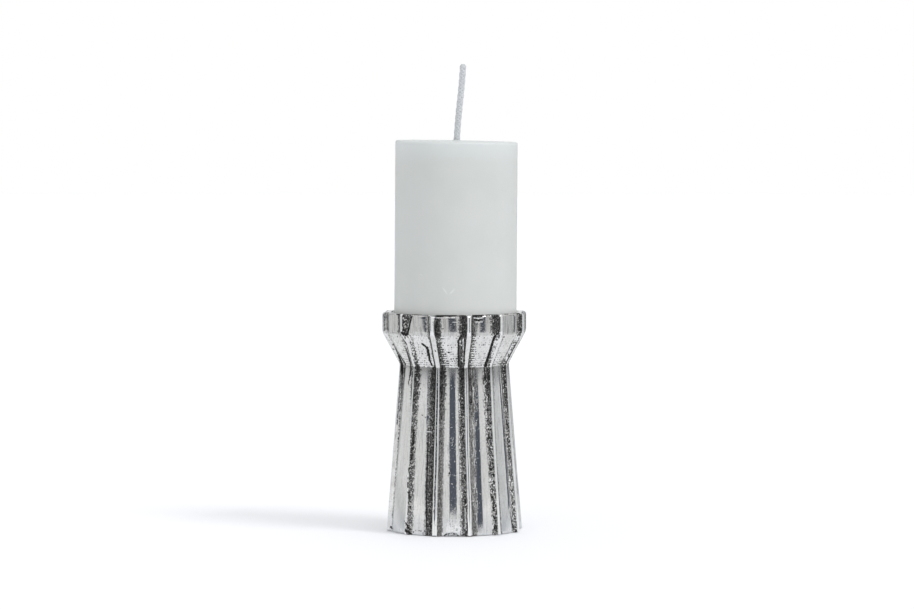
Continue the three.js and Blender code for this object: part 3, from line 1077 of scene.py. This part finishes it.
def polished_colour(tree, cast):
    """Bright metal, brushed lengthwise, duller on the band, and hazy with painted shade under the flare."""
    band_streaks = remap(grain(tree, 0.9, 3.0, (1, 1, 9)), 0.45, 0.75, 0.0, 0.55) * cast.band
    at_foot = 1.0 - height_share(tree, 3.0, 15.0)
    return layered(
        (220, 220, 218),
        (remap(cast.cloud, 0.35, 0.65), (230, 230, 229)),
        (cast.band * 0.6, (186, 185, 182)),
        (remap(cast.lines, 0.52, 0.8, 0.0, 0.4), (176, 176, 176)),
        (remap(cast.brushed, 0.5, 0.75, 0.0, 0.6), (178, 179, 180)),
        (remap(cast.speckle, 0.52, 0.7, 0.0, 0.35), (178, 179, 180)),
        (band_streaks, (120, 118, 115)),
        (remap(cast.fine, 0.5, 0.72, 0.0, 0.4), (192, 193, 193)),
        (at_foot * 0.5, (190, 193, 198)),
        (remap(cast.climb, 0.98, 1.1) * (1.0 - cast.flare), (231, 232, 232)),
        (cast.bare, (238, 238, 238)),
        # Painted shade under the flare, partly haze
        (cast.haze, (112, 112, 112)),
    )


def skin_colour(cast):
    """The dark skin of the walls: mottled, scored where streaked, with bright grains where gritty."""
    foot_light = remap(cast.climb, 0.2, 1.0, 0.12, -0.04) * remap(cast.grit, 0.0, 1.0, 1.0, 0.2)
    tone = cast.low_down * cast.tone + cast.flare * 0.08 + cast.grains * 0.5 + (cast.lines - 0.5) * 0.8
    tone = tone + (cast.brushed - 0.5) * cast.streak * 2.2 + foot_light
    tone = (tone * (1.0 - cast.stained * 0.8)).clamped()
    glint = remap(cast.speckle, 0.54, 0.66) * (cast.grit * cast.low_down) * (1.0 - cast.stained)
    return layered((22, 22, 22), (tone, (154, 153, 151)), (glint * 0.85, (218, 217, 214)))


def casting_material():
    """Polished ribs and flute floors, and dark rough walls with bright grains."""
    material, tree, shader = new_material("cast_aluminium")
    cast = casting_shades(tree)
    dark = dark_share(tree, cast)
    smooth = cast.band * 0.08 + 0.03 + cast.haze * 0.35 + remap(cast.speckle, 0.6, 0.72, 0.0, 0.25)
    normal = bump((cast.grains + 1.0) * cast.cover, 0.05)
    normal = bump(cast.lines, 0.003, normal)
    normal = bump(cast.fine, 0.0025, normal)
    set_inputs(shader, {
        "Base Color": mixed_colour(dark, polished_colour(tree, cast), skin_colour(cast)),
        "Metallic": remap(dark, 0.0, 1.0, 1.0, 0.5),
        "Roughness": dark * 0.45 + smooth + cast.bare * 0.35,
        "Specular IOR Level": 0.25,
        "Normal": normal,
    })
    return material


# Scuffs on the wax: place round the candle, height, half length and half width in millimetres,
# and slant in degrees
WAX_SCUFFS = (
    (-4.9, 119.6, 3.0, 0.55, -52.0),
    (-1.2, 119.2, 2.7, 0.65, 44.0),
    (-18.4, 127.2, 1.0, 0.30, -10.0),
)


def scuff(tree, around, up, half_length, half_width, slant):
    """1 in the middle of a short stroke and 0 outside it."""
    inside = node(tree, "ShaderNodeMapping", {
        "Vector": around_and_up(tree), "Location": (around * MM, up * MM, 0),
        "Rotation": (0, 0, math.radians(slant)), "Scale": (half_length * MM, half_width * MM, 1),
    }, vector_type="TEXTURE")
    far = node(tree, "ShaderNodeVectorMath", {0: Shade(inside)}, operation="LENGTH")
    return remap(Shade(far, "Value"), 1.0, 0.3)


def wax_material():
    """Smooth pale wax, faintly clouded, with a few scuffs, painted light by the rim and a painted highlight
    at the top.
    """
    material, tree, shader = new_material("candle_wax")
    # Painted light: the wax is made lighter towards the rim, against the shade that the cup casts on it
    painted_rim_light = 1.0 - height_share(tree, RIM_Z - 5, RIM_Z + 9)
    # Painted highlight: the top of the candle is made lighter and cooler
    painted_top_highlight = height_share(tree, WAX_HIGH.z - 12, WAX_HIGH.z - 1)
    colour = layered(
        (202, 206, 203),
        (remap(grain(tree, 16.0, 3.0), 0.3, 0.7), (205, 208, 206)),
        (painted_rim_light * 0.45, (224, 226, 224)),
        (painted_top_highlight * 0.5, (216, 222, 224)),
        *((scuff(tree, *stroke) * 0.5, (226, 230, 230)) for stroke in WAX_SCUFFS),
    )
    set_inputs(shader, {
        "Base Color": colour,
        "Subsurface Weight": 0.25,
        "Subsurface Radius": (1.0, 0.9, 0.8),
        "Subsurface Scale": 3 * MM,
        "Roughness": remap(grain(tree, 3.0, 2.0), 0.3, 0.7, 0.42, 0.52),
        "Normal": bump(grain(tree, 5.0, 3.0), 0.03),
    })
    return material


def wick_material():
    """Cotton yarn soaked in wax."""
    material, tree, shader = new_material("waxed_cotton")
    fibres = grain(tree, 0.22, 2.0, (1, 1, 3))
    set_inputs(shader, {
        "Base Color": layered(
            (188, 191, 194),
            (remap(fibres, 0.3, 0.7), (212, 216, 220)),
            (remap(grain(tree, 3.0, 2.0), 0.55, 0.75, 0.0, 0.3), (196, 195, 191)),
        ),
        "Roughness": remap(fibres, 0.3, 0.7, 0.55, 0.75),
        "Sheen Weight": 0.15,
        "Normal": bump(fibres, 0.05),
    })
    return material


def tin_material():
    """Thin tinned sheet, a little clouded."""
    material, tree, shader = new_material("tinned_steel")
    scratches = grain(tree, 0.3, 2.0, (12, 1, 12))
    set_inputs(shader, {
        "Base Color": layered((188, 190, 192), (remap(grain(tree, 2.0, 3.0), 0.35, 0.7), (210, 211, 212))),
        "Metallic": 1.0,
        "Roughness": remap(scratches, 0.3, 0.7, 0.22, 0.4),
        "Normal": bump(scratches, 0.01),
    })
    return material


def felt_material():
    """Dark pressed felt with loose fibres."""
    material, tree, shader = new_material("dark_felt")
    fibres = grain(tree, 0.25, 3.0, (3, 1, 1))
    clumps = grain(tree, 1.6, 2.0)
    set_inputs(shader, {
        "Base Color": layered(
            (26, 26, 28),
            (remap(fibres, 0.3, 0.75), (62, 62, 65)),
            (remap(clumps, 0.4, 0.7, 0.0, 0.5), (44, 44, 46)),
        ),
        "Roughness": remap(clumps, 0.3, 0.7, 0.85, 1.0),
        "Sheen Weight": 0.4,
        "Normal": bump(fibres, 0.12),
    })
    return material


# Camera, light and floor

def camera():
    """The camera at the photograph's place, looking a little down."""
    data = bpy.data.cameras.new("camera")
    data.sensor_width = SENSOR_WIDTH
    data.lens = FOCAL_PIXELS * SENSOR_WIDTH / PHOTO_WIDTH
    data.clip_end = 50
    made = new_object("camera", data)
    made.location = (EYE_RIGHT * MM, -EYE_DISTANCE * MM, EYE_HEIGHT * MM)
    made.rotation_euler = (math.radians(90 - PITCH_DOWN), 0, 0)
    bpy.context.scene.camera = made


def seen_directly(tree):
    """1 for rays from the camera, from a reflection or through glass, else 0."""
    path = node(tree, "ShaderNodeLightPath")
    seen = maths("MAXIMUM", Shade(path, "Is Camera Ray"), Shade(path, "Is Glossy Ray"))
    return maths("MAXIMUM", seen, Shade(path, "Is Transmission Ray"))


WORLD_LEVEL = 0.8


def world():
    """White where it is seen, and a plain even light elsewhere."""
    made = bpy.data.worlds.new("studio")
    bpy.context.scene.world = made
    made.use_nodes = True
    tree = made.node_tree
    set_inputs(tree.nodes["Background"], {
        "Color": (1, 1, 1, 1),
        "Strength": remap(seen_directly(tree), 0.0, 1.0, WORLD_LEVEL, 1.0),
    })


def placed(distance, azimuth, z):
    """A point away from the axis. The azimuth is in degrees from the front towards the right."""
    turn = math.radians(azimuth)
    return (distance * math.sin(turn), -distance * math.cos(turn), z)


# Lamps: azimuth, elevation and spread in degrees, and strength
LAMPS = {"key": (56.0, 50.0, 20.0, 0.85), "fill": (12.0, 35.0, 80.0, 0.33)}


def far_lamp(name, azimuth, elevation, spread, strength):
    """A far soft light."""
    data = bpy.data.lights.new(name, "SUN")
    data.angle = math.radians(spread)
    data.energy = strength
    made = new_object(name, data)
    rise = math.radians(elevation)
    made.location = placed(math.cos(rise), azimuth, math.sin(rise))
    made.rotation_euler = made.location.to_track_quat("Z", "Y").to_euler()


FLOOR_SIZE = 12000.0
FLOOR_COLOUR = (0.84, 0.85, 0.88, 1)
FLOOR_LIFT = 0.12


def floor():
    """Pale floor that keeps the object's shadow and is white elsewhere."""
    half = FLOOR_SIZE / 2
    corners = [(-half, -half, 0), (half, -half, 0), (half, half, 0), (-half, half, 0)]
    made = mesh_piece("floor", corners, [(0, 1, 2, 3)])
    material, tree, shader = new_material("pale_floor")
    set_inputs(shader, {
        "Base Color": FLOOR_COLOUR,
        "Roughness": 0.8,
        "Specular IOR Level": 0.1,
        "Emission Color": (1, 1, 1, 1),
        "Emission Strength": seen_directly(tree) * FLOOR_LIFT,
    })
    made.data.materials.append(material)


# What only reflections see of the studio: a pale wall all round, pale grey cards and a mat before it,
# and dark gaps, one of them overhead.
WALL_DISTANCE = 530.0
WALL_LOW = 36.0
WALL_HIGH = 420.0
WALL_DROP = 14.0
WALL_STEPS = 96
WALL_COLOUR = linear(238, 239, 239)

# Grey cards: left and right edge in degrees, and lowest and highest height
GREY_DISTANCE = 515.0
GREY_COLOUR = linear(218, 220, 222)
LOW_EDGE = 24.0
GREY_CARDS = (
    (86.0, 110.0, 1.0, WALL_HIGH),
    (110.0, 125.0, 1.0, LOW_EDGE),
    (125.0, 158.0, LOW_EDGE, WALL_HIGH),
    (-175.0, -135.0, LOW_EDGE, WALL_HIGH),
    (-138.0, -96.0, 1.0, LOW_EDGE),
)
MAT_INNER = 150.0
MAT_HEIGHT = 0.5
MAT_SPAN = (86.0, 264.0)
MAT_STEPS = 60
MAT_COLOUR = linear(248, 249, 250)

# A gap has its left and right edge at LOWER_LEVEL and at UPPER_LEVEL, in degrees, and its lowest height
GAP_DISTANCE = 500.0
GAP_COLOUR = linear(92, 97, 108)
LOWER_LEVEL = 40.0
UPPER_LEVEL = 130.0
DARK_GAPS = (
    ((-8.7, 4.3), (-10.4, 1.4), 40.4),
    ((41.6, 51.2), (42.0, 51.4), 25.0),
    ((-53.9, -44.0), (-61.4, -44.5), 27.0),
    ((113.4, 118.6), (113.4, 118.6), 3.0),
    ((-142.0, -138.0), (-142.0, -138.0), 20.0),
    ((160.5, 169.5), (160.5, 169.5), 36.0),
    ((-101.0, -95.0), (-101.0, -95.0), 30.0),
)
CEILING_HEIGHT = 1100.0
CEILING_RADII = (20.0, 640.0)
CEILING_STEPS = 64


def reflected_only(name, points, faces, colour, grey=None):
    """A staged piece whose glow only reflections see. Where its points' grey is 1, it is grey."""
    piece = mesh_piece(name, points, faces, {"grey": grey} if grey is not None else None)
    material, tree, shader = new_material(name)
    tree.nodes.remove(shader)
    if grey is not None:
        colour = mixed_colour(number_on_points(tree, "grey"), colour, GREY_COLOUR)
    glow = node(tree, "ShaderNodeEmission", {"Color": colour, "Strength": 1.0})
    set_inputs(tree.nodes["Material Output"], {"Surface": Shade(glow)})
    piece.data.materials.append(material)
    piece.visible_camera = False
    piece.visible_diffuse = False
    piece.visible_shadow = False
    piece.visible_transmission = False


def studio_wall():
    """The pale wall, which reaches lower at the sides and behind than in front."""
    angle = round_angles(WALL_STEPS)
    low, high = profile_rings(angle, ((WALL_DISTANCE, WALL_LOW), (WALL_DISTANCE, WALL_HIGH)))
    low[:, 2] -= WALL_DROP * np.clip(0.5 - 1.2 * np.cos(angle), 0, 1)
    reflected_only("studio_wall", np.concatenate([low, high]), skin_faces(2, WALL_STEPS), WALL_COLOUR)


def grey_card(index, left, right, low, high):
    """A pale grey card that tones the outer flutes down. A low one fades into the wall's colour."""
    sides = ((left, low), (right, low), (right, high), (left, high))
    corners = [placed(GREY_DISTANCE, turn, z) for turn, z in sides]
    upper = 1.0 if high == WALL_HIGH else 0.0
    reflected_only(f"grey_card_{index}", corners, [(0, 1, 2, 3)], WALL_COLOUR, (1.0, 1.0, upper, upper))


def grey_mat():
    """A pale mat on the floor beside and behind the stand, which turns grey towards its outer edge."""
    angle = np.radians(np.linspace(*MAT_SPAN, MAT_STEPS))
    points = np.concatenate([ring(angle, r, MAT_HEIGHT) for r in (MAT_INNER, GREY_DISTANCE)])
    faces = [(i, i + 1, i + 1 + MAT_STEPS, i + MAT_STEPS) for i in range(MAT_STEPS - 1)]
    reflected_only("grey_mat", points, faces, MAT_COLOUR, np.repeat([0.0, 1.0], MAT_STEPS))


def dark_gap(index, lower, upper, low):
    """An upright dark card in front of the pale wall, whose sides slant below the upper level."""
    corners = []
    for z in (low, UPPER_LEVEL, WALL_HIGH):
        share = min((z - LOWER_LEVEL) / (UPPER_LEVEL - LOWER_LEVEL), 1.0)
        for start, end in zip(lower, upper):
            corners.append(placed(GAP_DISTANCE, start + (end - start) * share, z))
    reflected_only(f"dark_gap_{index}", corners, [(0, 1, 3, 2), (2, 3, 5, 4)], GAP_COLOUR)


def ceiling_gap():
    """The dark gap overhead, which edges the rim."""
    angle = round_angles(CEILING_STEPS)
    points = np.concatenate([ring(angle, r, CEILING_HEIGHT) for r in CEILING_RADII])
    reflected_only("ceiling_gap", points, skin_faces(2, CEILING_STEPS), GAP_COLOUR)


def dress(piece, body, material, replaced):
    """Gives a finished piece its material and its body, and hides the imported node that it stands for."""
    piece.data.materials.append(material)
    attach(piece, body)
    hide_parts(replaced)


camera()
bpy.context.scene.view_settings.view_transform = "Standard"
world()
for name, lamp in LAMPS.items():
    far_lamp(name, *lamp)
floor()
studio_wall()
for index, card in enumerate(GREY_CARDS):
    grey_card(index, *card)
grey_mat()
ceiling_gap()
for index, gap in enumerate(DARK_GAPS):
    dark_gap(index, *gap)

dress(fluted_casting(), "stand", casting_material(), "stand_casting")
dress(felt_ring(), "stand", felt_material(), "felt_foot_ring")
dress(pillar_wax(), "candle", wax_material(), "candle_wax")
dress(braided_wick(), "candle", wick_material(), "wick")
dress(wick_clip(), "candle", tin_material(), "wick_sustainer")
